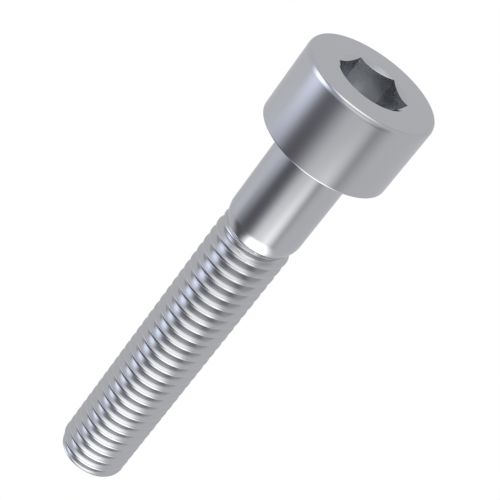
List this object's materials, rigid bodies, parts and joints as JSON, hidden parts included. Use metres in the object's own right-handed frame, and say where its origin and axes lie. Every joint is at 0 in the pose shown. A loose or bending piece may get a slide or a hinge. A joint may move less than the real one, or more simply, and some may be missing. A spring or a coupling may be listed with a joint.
{
  "type": "socket head cap screw",
  "caption": "Partly threaded socket head cap screw with a cylindrical head, hex socket, plain shank, rounded shoulder and right-hand rolled thread, standing on its head.",
  "frame": {"origin": "middle of the head's flat top, where the screw stands on the floor", "axes": "+Z along the screw's axis, from the head's flat top to the tip; +X through a corner of the hex socket"},
  "size_m": [0.0085, 0.0084, 0.0349],
  "materials": {
    "steel": "bright zinc-plated steel, smooth and softly reflecting"
  },
  "bodies": {
    "root": {"cap_screw": "steel"}
  },
  "joints": []
}
